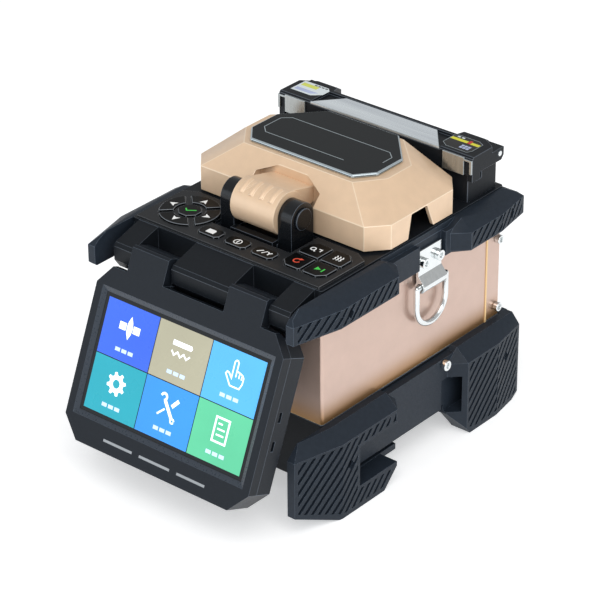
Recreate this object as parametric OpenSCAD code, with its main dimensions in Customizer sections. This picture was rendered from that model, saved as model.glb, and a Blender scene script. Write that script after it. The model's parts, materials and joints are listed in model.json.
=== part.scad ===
/* [Body] */
// Width of the gold casing
body_w = 128; // [127:0.5:129]
// Front face of the casing along Y
body_front = -48.5; // [-49.5:0.5:-48]
// Rear face of the casing along Y
body_rear = 103.5; // [103:0.5:104]
// Height of the underside of the base tray
tray_bottom = 14; // [13.5:0.5:14.5]
// Height where the gold casing stands on the tray
casing_bottom = 52; // [50:1:54]
// Height where the top deck closes the casing
deck_bottom = 112; // [111:0.5:112]
// Height of the deck's top surface
deck_top = 130.3; // [130:0.1:130.5]
// Wall thickness of the casing
casing_wall = 1.6; // [1.2:0.1:2]

/* [Bumpers] */
// Half-width over the bumpers
bumper_half_w = 76.6; // [76:0.2:78]
// Front end of the bumper horns along Y
horn_front = -77; // [-78:0.5:-76]
// Rear end of the bumpers along Y
bumper_rear = 110.6; // [110:0.2:111]
// Height of the lower edge of the upper bumper
upper_bumper_bottom = 112.5; // [112:0.5:113]
// Height of the upper bumper's outer top edge
upper_bumper_top = 126.4; // [126:0.2:127]
// Height of the lower bumper's outer top edge
lower_bumper_top = 45; // [44:1:46]

/* [Screen] */
// Visible width of the screen
screen_w = 108; // [106:1:109]
// Visible height of the screen
screen_h = 60.7; // [59:0.1:61]
// Lean of the screen back from upright
screen_lean = 22.6; // [22:0.2:23]
// Thickness of the screen housing
housing_depth = 17.5; // [17:0.5:18]

/* [Wind cover] */
// Half-width of the cover at the deck
cover_half_w = 64.6; // [64:0.2:65]
// Height of the cover's upright band above its lower edge
cover_band_h = 14.1; // [13:0.5:15]
// Height of the cover's flat top
cover_top = 160; // [159:0.5:161]
// Thickness of the cover's wall
cover_wall = 2.4; // [2:0.1:2.8]
// Radius of the gold hinge barrel
barrel_r = 12; // [11.5:0.1:12.2]
// Radius of the cover's hinge pin
cover_pin_r = 3.5; // [3:0.1:3.6]

/* [Heater] */
// Half-length of the heater lid
heater_half_l = 66; // [65:0.5:67]
// Depth of the heater lid from front edge to hinge axis
heater_lid_d = 23.6; // [23:0.2:24]
// Radius of the heater's hinge pin
heater_pin_r = 1.5; // [1.3:0.1:1.6]

/* [Keys and rings] */
// Height that a key stands above its panel
key_rise = 0.9; // [0.8:0.1:1.2]
// Wire radius of the strap rings
ring_wire_r = 1.65; // [1.5:0.05:1.7]
// Inside half-width of the strap rings
ring_half_w = 10.6; // [10:0.2:11]

/* [Hidden] */
$fn = 48;

gold = "#d4aa7e";
black = "#2e3136";
dark = "#26282c";
rubber = "#353a41";
steel = "#c9ccd0";
copper_green = "#2c5a3c";

// Small gap left between pieces that only stand beside each other
gap = 0.05;
// Running clearance round a hinge pin
pin_play = 0.05;
// A cut passes this far beyond the surface that it opens
cut = 1;
half_w = body_w / 2;

// The screen's own frame: origin at the middle of its top edge, Y up its face, Z out of it
screen_origin = [0, -78.2, 99.5];
screen_turn = 90 - screen_lean;
housing_front = 1.5;
housing_back = housing_front - housing_depth;
housing_half_w = 63.4;
housing_top = 15.5;
housing_bottom = -79;
// Hinge axis of the screen, in the body's frame and in the screen's own frame
display_axis = [-59, 117.5];
display_axis_own = [24, -10.8];
display_pin_r = 2.5;
fixed_knuckle_half_w = 19.3;
outer_knuckle = [46.1, 59.4];
tab = [20.3, 45.4];
tab_top = 30.3;

// Hinge axis of the wind cover, along X
cover_axis = [-15.5, 144.6];
cover_bottom = 131.6;
cover_band_top = cover_bottom + cover_band_h;
barrel_half_l = 14.6;
ear_inner = 14.9;
ear_outer = 24;
ear_r = 8.8;
pocket_half_w = 21.6;

// The fibre's line across the splice stage, along X
fibre_line = [31.3, 138];

// Hinge axis of the heater lid, along X
heater_front = 72.4;
heater_axis = [heater_front + heater_lid_d, 152.5];
heater_lid_bottom = 148;
heater_lid_top = 158.6;

// Strap ring: its hinge line runs along Y at this X and Z
ring_x = 67.8;
ring_z = 101.8;
ring_y = 36.3;
ring_drop = 24;

panel_top = 131.9;
key_travel = 0.8;
key_gap = 0.3;

// A rectangle with round corners
module round_rect(x0, x1, y0, y1, r) {
    translate([x0 + r, y0]) square([x1 - x0 - 2 * r, y1 - y0]);
    translate([x0, y0 + r]) square([x1 - x0, y1 - y0 - 2 * r]);
    for (x = [x0 + r, x1 - r], y = [y0 + r, y1 - r]) translate([x, y]) circle(r = r);
}

// A profile drawn in Y and Z, drawn out along X from x0 to x1
module along_x(x0, x1) {
    translate([x0, 0, 0]) rotate([90, 0, 90]) linear_extrude(x1 - x0) children();
}

// A profile drawn in X and Z, drawn out along Y from y0 to y1
module along_y(y0, y1) {
    translate([0, y1, 0]) rotate([90, 0, 0]) linear_extrude(y1 - y0) children();
}

module rod_x(x0, x1, at, r) {
    along_x(x0, x1) translate(at) circle(r = r);
}

module both_sides() {
    children();
    mirror([1, 0, 0]) children();
}

module box(low, high) {
    translate(low) cube(high - low);
}

// A thin flat slab with the given outline, used as one level of a blended shape
module level(z, outline) {
    translate([0, 0, z]) linear_extrude(0.01) polygon(outline);
}

// ---------------------------------------------------------------- base and casing

tray_wall = 2.4;
tray_floor = 3;
tripod_hole_r = 2.6;
tripod_boss_r = 9;
tripod_boss_h = 12;
tray_screw_spots = [[52, -30], [-52, -30], [52, 85], [-52, 85]];

module base_tray() {
    color(black) difference() {
        translate([0, 0, tray_bottom]) union() {
            difference() {
                linear_extrude(casing_bottom - tray_bottom)
                    round_rect(-half_w, half_w, body_front, body_rear, casing_corner_r);
                translate([0, 0, tray_floor]) linear_extrude(casing_bottom)
                    round_rect(-half_w + tray_wall, half_w - tray_wall,
                               body_front + tray_wall, body_rear - tray_wall, 2);
            }
            cylinder(r = tripod_boss_r, h = tripod_boss_h);
        }
        translate([0, 0, tray_bottom - cut]) cylinder(r = tripod_hole_r, h = tripod_boss_h + 2 * cut);
        for (s = tray_screw_spots) translate([s[0], s[1], tray_bottom - cut]) cylinder(r = 1.6, h = 6);
    }
}

module tray_screws() {
    color(steel) for (s = tray_screw_spots) translate([s[0], s[1], tray_bottom]) {
        translate([0, 0, -gap]) cylinder(r = 1.5, h = 8);
        translate([0, 0, -2]) cylinder(r = 2.8, h = 2 - gap);
    }
}

seam_y = 90.5;
casing_corner_r = 1.8;

module casing_outline(side, wall) {
    difference() {
        round_rect(-side, side, body_front, body_rear, casing_corner_r);
        round_rect(-side + wall, side - wall, body_front + wall, body_rear - wall,
                   casing_corner_r - wall);
    }
}

module casing_wrap() {
    color(gold) translate([0, 0, casing_bottom]) linear_extrude(deck_bottom - casing_bottom)
        intersection() {
            casing_outline(half_w, casing_wall);
            translate([-half_w, body_front]) square([body_w, seam_y - body_front]);
        }
}

port_hole_half_w = 46;
port_hole = [64, 96];

module casing_rear() {
    color(gold) difference() {
        translate([0, 0, casing_bottom]) linear_extrude(deck_bottom - casing_bottom)
            intersection() {
                casing_outline(half_w - 0.6, casing_wall);
                translate([-half_w, seam_y + 0.4]) square([body_w, body_rear - seam_y]);
            }
        box([-port_hole_half_w, body_rear - 3, port_hole[0]],
            [port_hole_half_w, body_rear + 1, port_hole[1]]);
    }
}

jack_r = 2.85;
jack_at = [-30, 86];
usb_half = [6.6, 2.9];
usb_at = [-8, 86];
lan_half = [8, 6.6];
lan_at = [20, 85];
port_depth = 12;
rim = 2.5;

module port_panel() {
    color(dark) difference() {
        union() {
            box([-port_hole_half_w - rim, body_rear + gap, port_hole[0] - rim],
                [port_hole_half_w + rim, body_rear + 2, port_hole[1] + rim]);
            box([-port_hole_half_w + gap, body_rear - port_depth - 2, port_hole[0] + gap],
                [port_hole_half_w - gap, body_rear + gap, port_hole[1] - gap]);
        }
        translate([jack_at[0], body_rear + 3, jack_at[1]]) rotate([90, 0, 0])
            cylinder(r = jack_r, h = port_depth);
        box([usb_at[0] - usb_half[0], body_rear - port_depth + 1, usb_at[1] - usb_half[1]],
            [usb_at[0] + usb_half[0], body_rear + 3, usb_at[1] + usb_half[1]]);
        box([lan_at[0] - lan_half[0], body_rear - port_depth + 1, lan_at[1] - lan_half[1]],
            [lan_at[0] + lan_half[0], body_rear + 3, lan_at[1] + lan_half[1]]);
    }
}

chassis_z = 60;
chassis_post = [50, 80];

module chassis() {
    color("#b8bcc0") {
        difference() {
            box([-60, body_front + 6, chassis_z], [60, 86, chassis_z + 2.5]);
            box([-20, 0, chassis_z - cut], [20, 40, chassis_z + 4]);
        }
        for (x = [-chassis_post[0], chassis_post[0]], y = [body_front + 12, chassis_post[1]])
            translate([x, y, chassis_z + 2.5]) cylinder(r = 3.5, h = deck_bottom - chassis_z - 3);
    }
}

module battery_pack() {
    color("#3a5f93") union() {
        translate([0, 0, tray_bottom + tray_floor + 1]) linear_extrude(34)
            round_rect(-46, 46, 14, 84, 4);
        box([-12, 84, 24], [12, 88, 36]);
    }
}

module main_board() {
    color(copper_green) union() {
        box([-44, -30, 68], [44, 84, 69.6]);
        box([-14, 48, 69.6], [14, 74, 73]);
        box([-38, -22, 69.6], [-20, -6, 76]);
        box([16, -24, 69.6], [40, 2, 72.4]);
    }
}

// ---------------------------------------------------------------- bumpers

horn_inner = 64.65;
horn_outer = 69.5;
flare_y = -47;
waist_x = 68.6;
front_lobe_end = -2;
rear_lobe_start = 59;
taper_y = 86;
rear_x = 72.5;
wrap_x = 54;
lobe_slant = 8;

function front_lobe(d) = [[horn_inner, horn_front + d],
    [max(horn_inner + 0.5, horn_outer - d), horn_front + d],
    [bumper_half_w - d, flare_y], [bumper_half_w - d, front_lobe_end - d],
    [waist_x, front_lobe_end + lobe_slant - d], [horn_inner, front_lobe_end + lobe_slant - d]];

// The tail end and its outer corner are drawn in by amounts of their own
function rear_lobe(d, tail, corner) = [[half_w + gap, rear_lobe_start - lobe_slant + d],
    [waist_x, rear_lobe_start - lobe_slant + d], [bumper_half_w - d, rear_lobe_start + d],
    [bumper_half_w - d, taper_y], [max(half_w + 0.5, rear_x - corner), bumper_rear - tail],
    [half_w + gap, bumper_rear - tail]];

// The strip that joins the lobes and wraps the rear corner of the casing
module bumper_strip(z0, z1) {
    box([half_w + gap, flare_y, z0], [waist_x, body_rear, z1]);
    box([wrap_x, body_rear + gap, z0], [half_w + 1, bumper_rear - 2.6, z1]);
}

bumper_crest = deck_top - 0.7;

module upper_bumper() {
    bevel = 1.2;
    top_inset = 2.6;
    crest_inset = 9.5;
    difference() {
        union() {
            for (lobe = [0, 1]) hull() {
                insets = [bevel, 0, top_inset, crest_inset];
                outline = [for (d = insets) lobe == 0 ? front_lobe(d) : rear_lobe(d, d, d)];
                level(upper_bumper_bottom, outline[0]);
                level(upper_bumper_bottom + bevel, outline[1]);
                level(upper_bumper_top - top_inset, outline[1]);
                level(upper_bumper_top, outline[2]);
                level(bumper_crest, outline[3]);
            }
            bumper_strip(upper_bumper_bottom, upper_bumper_top);
            box([half_w + gap, front_lobe_end, upper_bumper_bottom],
                [half_w + 1.1, rear_lobe_start, bumper_crest]);
        }
        bracket_seat();
    }
}

module upper_bumper_right() {
    color(rubber) upper_bumper();
}

module upper_bumper_left() {
    color(rubber) mirror([1, 0, 0]) upper_bumper();
}

foot_front = [[-78, lower_bumper_top], [-78, 11.9], [-77, 11.9], [-49, 0], [-12.5, 0],
    [-2, 10.5], [-2, 13.2], [-33, 13.2], [-33, 37], [10, 37], [10, lower_bumper_top]];
foot_rear = [[46, lower_bumper_top], [46, 20], [59, 4], [62, 0], [104, 0], [112, 3],
    [112, lower_bumper_top]];
pocket_z = [15, 37];
slope_h = 7;
slope_d = 8;
rail_bottom = 19;
foot_plate_x = 42.5;
foot_plate_z = 5;
toe_shelf_z = 10.4;

module lower_bumper() {
    difference() {
        union() {
            intersection() {
                linear_extrude(lower_bumper_top) polygon(front_lobe(0));
                along_x(0, 90) polygon(foot_front);
            }
            intersection() {
                linear_extrude(lower_bumper_top) polygon(rear_lobe(0, 0, 0));
                along_x(0, 90) polygon(foot_rear);
            }
            hull() {
                level(lower_bumper_top - 0.01, front_lobe(0));
                level(lower_bumper_top + slope_h, front_lobe(slope_d));
            }
            hull() {
                level(lower_bumper_top - 0.01, rear_lobe(0, 0, 0));
                level(lower_bumper_top + slope_h, rear_lobe(slope_d, 1.5, 4));
            }
            box([half_w + gap, -46, rail_bottom], [waist_x, 66, lower_bumper_top + slope_h - 2]);
            box([wrap_x, body_rear + gap, foot_plate_z],
                [half_w + 0.5, bumper_rear - 1, lower_bumper_top + slope_h]);
            box([foot_plate_x, body_front - 2.5, foot_plate_z],
                [horn_inner + 1, -12.5, tray_bottom - gap]);
            box([foot_plate_x, -13.5, toe_shelf_z], [horn_inner + 1, 10.5, tray_bottom - gap]);
            box([foot_plate_x, 62, foot_plate_z], [half_w + 1, 105, tray_bottom - gap]);
        }
        box([66.2, rear_lobe_start - 13, pocket_z[0]], [74.4, rear_lobe_start + 11, pocket_z[1]]);
        for (s = tray_screw_spots) translate([s[0], s[1], 0]) cylinder(r = 3.4, h = 20);
        translate([half_w, rail_screw[0], rail_screw[1]]) rotate([0, 90, 0])
            cylinder(r = 2, h = 10);
    }
}

module lower_bumper_right() {
    color(rubber) lower_bumper();
}

module lower_bumper_left() {
    color(rubber) mirror([1, 0, 0]) lower_bumper();
}

// Screws on the rails and near the casing's rear edges
rail_screw = [47.6, 46.6];
casing_screws = [[99.8, 99.5], [99.8, 58]];

module side_screw(head_r) {
    difference() {
        cylinder(r = head_r, h = 3);
        translate([0, 0, 1.2]) cylinder(r = 1.5, h = 3, $fn = 6);
    }
}

module side_screws() {
    color(steel) both_sides() {
        translate([waist_x + gap, rail_screw[0], rail_screw[1]]) rotate([0, 90, 0]) {
            side_screw(3);
            translate([0, 0, -3]) cylinder(r = 1.8, h = 3);
        }
        for (s = casing_screws) translate([half_w - 0.6 + gap, s[0], s[1]]) rotate([0, 90, 0])
            side_screw(2.6);
    }
}

// ---------------------------------------------------------------- strap brackets and rings

bracket_half_w = 9.8;
bracket_t = 1.6;
bracket_z = [106, 122.4];
roll_r = 3.3;

// Space that the bracket's plate takes out of the upper bumper
module bracket_seat() {
    box([half_w + 1.2, ring_y - bracket_half_w - 1.2, upper_bumper_bottom - cut],
        [waist_x + cut, ring_y + bracket_half_w + 1.2, upper_bumper_top + cut]);
}

module strap_bracket() {
    plate_x = half_w + 1.3;
    difference() {
        union() {
            box([plate_x, ring_y - bracket_half_w, bracket_z[0]],
                [plate_x + bracket_t, ring_y + bracket_half_w, bracket_z[1]]);
            along_y(ring_y - bracket_half_w, ring_y + bracket_half_w)
                polygon([[plate_x, bracket_z[0] + 2], [plate_x + bracket_t, bracket_z[0] + 2],
                         [ring_x + 2.6, ring_z + 2], [ring_x, ring_z], [ring_x - 2.4, ring_z + 2.2]]);
            along_y(ring_y - bracket_half_w, ring_y + bracket_half_w)
                translate([ring_x, ring_z]) circle(r = roll_r);
        }
        along_y(ring_y - 20, ring_y + 20) translate([ring_x, ring_z])
            circle(r = ring_wire_r + 0.3);
        for (y = bracket_screw_y) translate([plate_x - 1, y, bracket_screw_z])
            rotate([0, 90, 0]) cylinder(r = 1.8, h = 4);
    }
}

module strap_bracket_right() {
    color(steel) strap_bracket();
}

module strap_bracket_left() {
    color(steel) mirror([1, 0, 0]) strap_bracket();
}

bracket_screw_y = [ring_y - 6.2, ring_y + 6.2];
bracket_screw_z = 115;

module bracket_screws() {
    color(steel) both_sides() for (y = bracket_screw_y)
        translate([half_w + 1.3 + bracket_t + gap, y, bracket_screw_z]) rotate([0, 90, 0]) {
            difference() {
                cylinder(r = 3, h = 2.6);
                translate([0, 0, 1]) cylinder(r = 1.4, h = 3);
            }
            translate([0, 0, -bracket_t - gap]) cylinder(r = 1.6, h = bracket_t + gap);
        }
}

module strap_ring() {
    bar_half = ring_half_w + ring_wire_r;
    arc_r = ring_half_w + ring_wire_r;
    translate([ring_x, ring_y, ring_z]) rotate([0, 90, 0]) {
        // The straight bar lies along Y, the arc hangs below it
        rotate([90, 0, 0]) translate([0, 0, -bar_half]) cylinder(r = ring_wire_r, h = 2 * bar_half);
        for (y = [-arc_r, arc_r]) translate([0, y, 0]) rotate([0, 90, 0])
            cylinder(r = ring_wire_r, h = ring_drop - arc_r);
        for (y = [-arc_r, arc_r]) translate([0, y, 0]) sphere(r = ring_wire_r);
        translate([ring_drop - arc_r, 0, 0]) rotate([0, 0, -90]) rotate_extrude(angle = 180)
            translate([arc_r, 0]) circle(r = ring_wire_r);
    }
}

module strap_ring_right() {
    color(steel) strap_ring();
}

module strap_ring_left() {
    color(steel) mirror([1, 0, 0]) strap_ring();
}

// ---------------------------------------------------------------- deck and keypad

deck_skin = 2.5;
stage_well = [46, 10, 58];
ear_well = [27, -28, -2];
well_floor = deck_top - 2;
keypad_outline = [[-61.6, -47.8], [61.6, -47.8], [61.9, -12], [54, -7.5], [27.5, -7.5],
    [27.5, -29.5], [-27.5, -29.5], [-27.5, -7.5], [-54, -7.5], [-61.9, -12]];
// Profile of the deck's fixed hinge knuckles in Y and Z
knuckle_profile = [[body_front + 1, deck_top], [-66.6, 124.6], [-68.2, 122.6], [-68.2, 114.6],
    [-64.5, 109.4], [-55, 108.6], [body_front - 0.3, 108.6], [body_front - 0.3, deck_bottom + 1],
    [body_front + 1, deck_bottom + 1]];

module deck() {
    color(black) difference() {
        union() {
            translate([0, 0, deck_bottom + gap]) linear_extrude(deck_top - deck_bottom - gap)
                round_rect(-half_w, half_w, body_front, body_rear, casing_corner_r);
            along_x(-fixed_knuckle_half_w, fixed_knuckle_half_w) polygon(knuckle_profile);
            both_sides() along_x(outer_knuckle[0], outer_knuckle[1]) polygon(knuckle_profile);
        }
        translate([0, 0, deck_bottom - cut]) linear_extrude(deck_top - deck_bottom - deck_skin + cut)
            round_rect(-half_w + deck_skin, half_w - deck_skin, body_front + deck_skin,
                       body_rear - deck_skin, 2);
        box([-stage_well[0], stage_well[1], deck_bottom], [stage_well[0], stage_well[2], deck_top + cut]);
        box([-ear_well[0], ear_well[1], well_floor], [ear_well[0], ear_well[2], deck_top + cut]);
        rod_x(-80, 80, display_axis, display_pin_r + 0.02);
        for (k = key_spots) translate([k[0], k[1], deck_top - deck_skin - cut])
            cylinder(r = stem_r + 1.2, h = deck_skin + 2 * cut);
    }
}

// Middle of each key, in the order of the key names
dpad = [-42.6, -27.5];
dpad_reach = 12.6;
cluster = [43.7, -27.2];
cluster_reach = 7.4;
middle_y = -38.3;
middle_pitch = 18;
key_spots = [dpad, dpad + [-dpad_reach, 0], dpad + [dpad_reach, 0], dpad + [0, dpad_reach],
    dpad + [0, -dpad_reach], [-middle_pitch, middle_y], [0, middle_y], [middle_pitch, middle_y],
    cluster + [-cluster_reach, cluster_reach], cluster + [-cluster_reach, -cluster_reach],
    cluster + [cluster_reach, cluster_reach], cluster + [cluster_reach, -cluster_reach]];
stem_r = 2.5;
dpad_ring = [8.6, 16.4];

// Outline of key number n about its own middle; grow widens it for the panel's hole
module key_outline(n, grow) {
    if (n == 0) rotate(22.5) circle(r = 6.6 + grow, $fn = 8);
    if (n >= 1 && n <= 4) {
        turn = [180, 0, 90, -90][n - 1];
        translate(dpad - key_spots[n]) intersection() {
            difference() {
                circle(r = dpad_ring[1] + grow);
                circle(r = dpad_ring[0] - grow);
            }
            reach = 40;
            open = 1.7 - grow;
            rotate(turn) polygon([[open * sqrt(2), 0], [reach + open, reach], [reach + open, -reach]]);
        }
    }
    if (n >= 5 && n <= 7) {
        w = 7 + grow;
        d = 4.2 + grow;
        polygon([[-w, -d + 2], [-w + 2, -d], [w - 2, -d], [w, -d + 2], [w, d - 2], [w - 2, d],
                 [-w + 2, d], [-w, d - 2]]);
    }
    if (n >= 8) {
        s = 6.5 + grow;
        side = [[-1, 1], [-1, -1], [1, 1], [1, -1]][n - 8];
        scale_x = side[0];
        scale_y = side[1];
        polygon([for (p = [[-s, -s], [s - 1, -s], [s, -s + 1], [s, s - 4], [s - 4, s], [-s + 1, s],
                           [-s, s - 1]]) [p[0] * scale_x, p[1] * scale_y]]);
    }
}

module key(n) {
    translate([key_spots[n][0], key_spots[n][1], 0]) {
        translate([0, 0, deck_top + key_travel + 0.1])
            linear_extrude(panel_top + key_rise - deck_top - key_travel - 0.1) key_outline(n, 0);
        translate([0, 0, deck_top - deck_skin]) cylinder(r = stem_r, h = deck_skin + key_travel + 0.2);
    }
}

module keypad_panel() {
    color("#33363a") translate([0, 0, deck_top + gap]) linear_extrude(panel_top - deck_top - gap)
        difference() {
            polygon(keypad_outline);
            for (n = [0:11]) translate(key_spots[n]) key_outline(n, key_gap);
        }
}

module keypad_board() {
    board_top = deck_top - deck_skin - 2.6;
    color(copper_green) {
        box([-60, body_front + 4, board_top - 1.6], [60, -10, board_top]);
        for (k = key_spots) translate([k[0], k[1], board_top - 0.1]) cylinder(r = 2, h = 1.3);
    }
}

module key_ok() { color(dark) key(0); }
module key_left() { color(dark) key(1); }
module key_right() { color(dark) key(2); }
module key_back() { color(dark) key(3); }
module key_front() { color(dark) key(4); }
module key_sheet() { color(dark) key(5); }
module key_info() { color(dark) key(6); }
module key_view() { color(dark) key(7); }
module key_zoom() { color(dark) key(8); }
module key_reset() { color(dark) key(9); }
module key_heat() { color(dark) key(10); }
module key_start() { color(dark) key(11); }

// ---------------------------------------------------------------- screen

module in_screen_frame() {
    translate(screen_origin) rotate([screen_turn, 0, 0]) children();
}

housing_split = -5;
housing_wall = 2.2;
window_margin = 2;
recess_margin = 4.6;

module housing_outline() {
    polygon([[-52.5, housing_bottom], [52.5, housing_bottom], [housing_half_w, -67.5],
             [housing_half_w, 5], [55, housing_top], [-55, housing_top],
             [-housing_half_w, 5], [-housing_half_w, -67.5]]);
}

module screen_hole(margin, z0, z1) {
    box([-screen_w / 2 - margin, -screen_h - margin, z0], [screen_w / 2 + margin, margin, z1]);
}

// Room round the fixed knuckles, in the screen's own frame
module knuckle_room() {
    room = 12;
    for (x = [[-tab[0], tab[0]], [tab[1], 66], [-66, -tab[1]]])
        rod_x(x[0], x[1], display_axis_own, room);
}

module display_bezel() {
    color(dark) in_screen_frame() difference() {
        union() {
            translate([0, 0, housing_split + gap])
                linear_extrude(housing_front - housing_split - gap) housing_outline();
            both_sides() along_x(tab[0] + 0.2, tab[1])
                polygon([[housing_top - 4, housing_split + gap], [tab_top, housing_split + gap],
                         [tab_top, 0], [tab_top - 1.3, housing_front],
                         [housing_top - 4, housing_front]]);
        }
        screen_hole(window_margin, housing_split - cut, housing_front + cut);
        screen_hole(recess_margin, 0.2, housing_front + cut);
        knuckle_room();
    }
}

module display_back() {
    inner = [housing_half_w - housing_wall, housing_bottom + housing_wall, 9.5];
    color(dark) in_screen_frame() difference() {
        union() {
            translate([0, 0, housing_back]) linear_extrude(housing_split - housing_back)
                housing_outline();
            both_sides() {
                along_x(tab[0] + 0.2, tab[1]) {
                    polygon([[housing_top - 4, housing_split], [housing_top - 4, -10.8],
                             [display_axis_own[0], -16.5], [tab_top, -10.8],
                             [tab_top, housing_split]]);
                    translate(display_axis_own) circle(r = 5.7);
                }
            }
        }
        translate([0, 0, housing_back + housing_wall]) linear_extrude(20) polygon([
            [-51.5, inner[1]], [51.5, inner[1]], [inner[0], -66.5], [inner[0], 4], [54, inner[2]],
            [-54, inner[2]], [-inner[0], 4], [-inner[0], -66.5]]);
        knuckle_room();
        rod_x(-80, 80, display_axis_own, display_pin_r + pin_play);
        for (y = [-26.4, -41.8]) box([inner[0] - cut, y - 2.7, -9.5], [70, y + 2.7, -7.5]);
    }
}

module screen_panel() {
    color("#1b1d20") in_screen_frame() screen_hole(window_margin - 0.2, -3.4, -0.8 - gap);
}

module screen_glass() {
    color("#101418") in_screen_frame() screen_hole(window_margin - 0.2, -0.8, 0);
}

module display_board() {
    color(copper_green) in_screen_frame() {
        box([-48, -54, -8], [48, -6, -6.4]);
        box([-12, -40, -10.6], [12, -20, -8]);
        box([20, -16, -11], [34, -8, -8]);
    }
}

module display_hinge_pin() {
    color(steel) rod_x(-outer_knuckle[1], outer_knuckle[1], display_axis, display_pin_r);
}

// ---------------------------------------------------------------- wind cover

cover_front = -4.5;
cover_rear = 69;
cover_side = [6.3, 57.7];
cover_front_half = 55.3;

function cover_low(d) = [[-cover_front_half + d / 2, cover_front + d],
    [cover_front_half - d / 2, cover_front + d], [cover_half_w - d, cover_side[0] + d / 2],
    [cover_half_w - d, cover_side[1] - d / 2], [cover_front_half - d / 2, cover_rear - d],
    [-cover_front_half + d / 2, cover_rear - d], [-cover_half_w + d, cover_side[1] - d / 2],
    [-cover_half_w + d, cover_side[0] + d / 2]];

function cover_high(d) = [[-36.6 + d / 2, 9.2 + d], [36.6 - d / 2, 9.2 + d],
    [48 - d, 24 + d / 2], [48 - d, 43.6 - d / 2], [26 - d / 2, 65 - d], [-26 + d / 2, 65 - d],
    [-48 + d, 43.6 - d / 2], [-48 + d, 24 + d / 2]];

// Outside of the cover drawn in by d, from the given lower edge
module cover_form(d, bottom) {
    hull() {
        level(bottom, cover_low(d));
        level(cover_band_top - d / 3, cover_low(d));
        level(cover_top - d - 0.01, cover_high(d));
    }
}

// The recess in front of the cover that takes the hinge; grow widens it
module hinge_pocket(grow) {
    w = pocket_half_w + grow;
    along_y(cover_front - 5, 6 + grow)
        polygon([[-w, cover_bottom - 5], [w, cover_bottom - 5], [w, 151.5 + grow],
                 [8.5 + grow / 2, 157 + grow], [-8.5 - grow / 2, 157 + grow], [-w, 151.5 + grow]]);
}

notch_y = [20.2, 42];
notch_top = 145;

module cover_shell() {
    color(gold) difference() {
        cover_form(0, cover_bottom);
        difference() {
            cover_form(cover_wall, cover_bottom - cut);
            hinge_pocket(cover_wall);
        }
        hinge_pocket(0);
        along_x(-80, 80) polygon([[notch_y[0], cover_bottom - cut], [notch_y[0] + 3, notch_top],
                                  [notch_y[1] - 6, notch_top], [notch_y[1], cover_bottom - cut]]);
    }
}

plate_outline = [[-34.4, 11.8], [34.4, 11.8], [42.9, 22.3], [42.9, 43.2], [24.1, 63.9],
    [-24.1, 63.9], [-42.9, 43.2], [-42.9, 22.3]];

module cover_top_plate() {
    color("#3b3b3b") translate([0, 0, cover_top + gap]) linear_extrude(2.2) polygon(plate_outline);
}

tongue_half_w = 13.6;
rib_r = 1.7;
rib_turn = [88, 138];

// A rounded rib on the barrel, from near its top to its upper front
module barrel_rib(x) {
    translate([x, cover_axis[0], cover_axis[1]]) rotate([90, 0, 90]) rotate([0, 0, rib_turn[0]])
        rotate_extrude(angle = rib_turn[1] - rib_turn[0]) translate([barrel_r - 0.7, 0]) circle(r = rib_r);
}

module cover_hinge_arm() {
    color(gold) difference() {
        union() {
            rod_x(-barrel_half_l, barrel_half_l, cover_axis, barrel_r);
            along_x(-tongue_half_w, tongue_half_w)
                polygon([cover_axis, [-15.5, 156.4], [-10, 155.6], [6 - gap, 151.6], [6 - gap, 143],
                         [-6, 140]]);
            for (x = [-9.9, -3.3, 3.3, 9.9]) barrel_rib(x);
        }
        rod_x(-80, 80, cover_axis, cover_pin_r + pin_play);
    }
}

module hinge_ears() {
    color(black) difference() {
        union() {
            both_sides() along_x(ear_inner, ear_outer) {
                translate(cover_axis) circle(r = ear_r);
                translate([cover_axis[0] - ear_r, well_floor + gap])
                    square([2 * ear_r, cover_axis[1] - well_floor]);
            }
            box([-ear_outer, cover_axis[0] - ear_r, well_floor + gap],
                [ear_outer, cover_axis[0] + ear_r, deck_top - gap]);
            box([-ear_inner + 0.6, ear_well[1] + gap, well_floor + gap],
                [ear_inner - 0.6, ear_well[1] + 4.6, 132.6]);
        }
        rod_x(-80, 80, cover_axis, cover_pin_r + 0.02);
    }
}

module cover_hinge_pin() {
    color(steel) rod_x(-ear_outer, ear_outer, cover_axis, cover_pin_r);
}

module hinge_caps() {
    color(dark) both_sides() rod_x(ear_outer + gap, ear_outer + 1.2, cover_axis, 6);
}

// Pads under the cover that press the bare fibres into their grooves
module cover_pressers() {
    press_z = 139.2;
    color("#9aa0a6") both_sides() {
        box([11, fibre_line[0] - 3, press_z], [16, fibre_line[0] + 3, press_z + 6]);
        translate([13.5, fibre_line[0], press_z + 6 - gap])
            cylinder(r = 1.6, h = cover_top - cover_wall - press_z - 6);
    }
}

// ---------------------------------------------------------------- splice stage

sheath_axis = [fibre_line[0] + 9, 138.2];
sheath_pin_r = 0.75;

module stage_base() {
    color("#8d9299") difference() {
        union() {
            box([-stage_well[0] + 0.5, stage_well[1] + 0.5, 116],
                [stage_well[0] - 0.5, stage_well[2] - 0.5, 129]);
            for (x = [-34.5, 34.5]) box([x - 9.5, fibre_line[0] - 9, 129 - gap],
                                        [x + 9.5, fibre_line[0] + 9, 136.6]);
        }
        along_x(-60, 60) polygon([[fibre_line[0] - 1.2, 137], [fibre_line[0] + 1.2, 137],
                                  [fibre_line[0], 135.4]]);
        for (y = [fibre_line[0] - 5, fibre_line[0] + 5]) translate([0, y, 110])
            cylinder(r = 3.2, h = 30);
        for (x = [-34.5, 34.5]) rod_x(x - 4, x + 4, sheath_axis, 3.2);
    }
    color("#8d9299") for (x = [-34.5, 34.5]) {
        rod_x(x - 6, x + 6, sheath_axis, sheath_pin_r);
        for (end = [x - 6, x + 4]) along_x(end, end + 2) {
            translate(sheath_axis) circle(r = 2.2);
            translate([sheath_axis[0] - 2.2, 134]) square([4.4, sheath_axis[1] - 134]);
        }
    }
}

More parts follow.
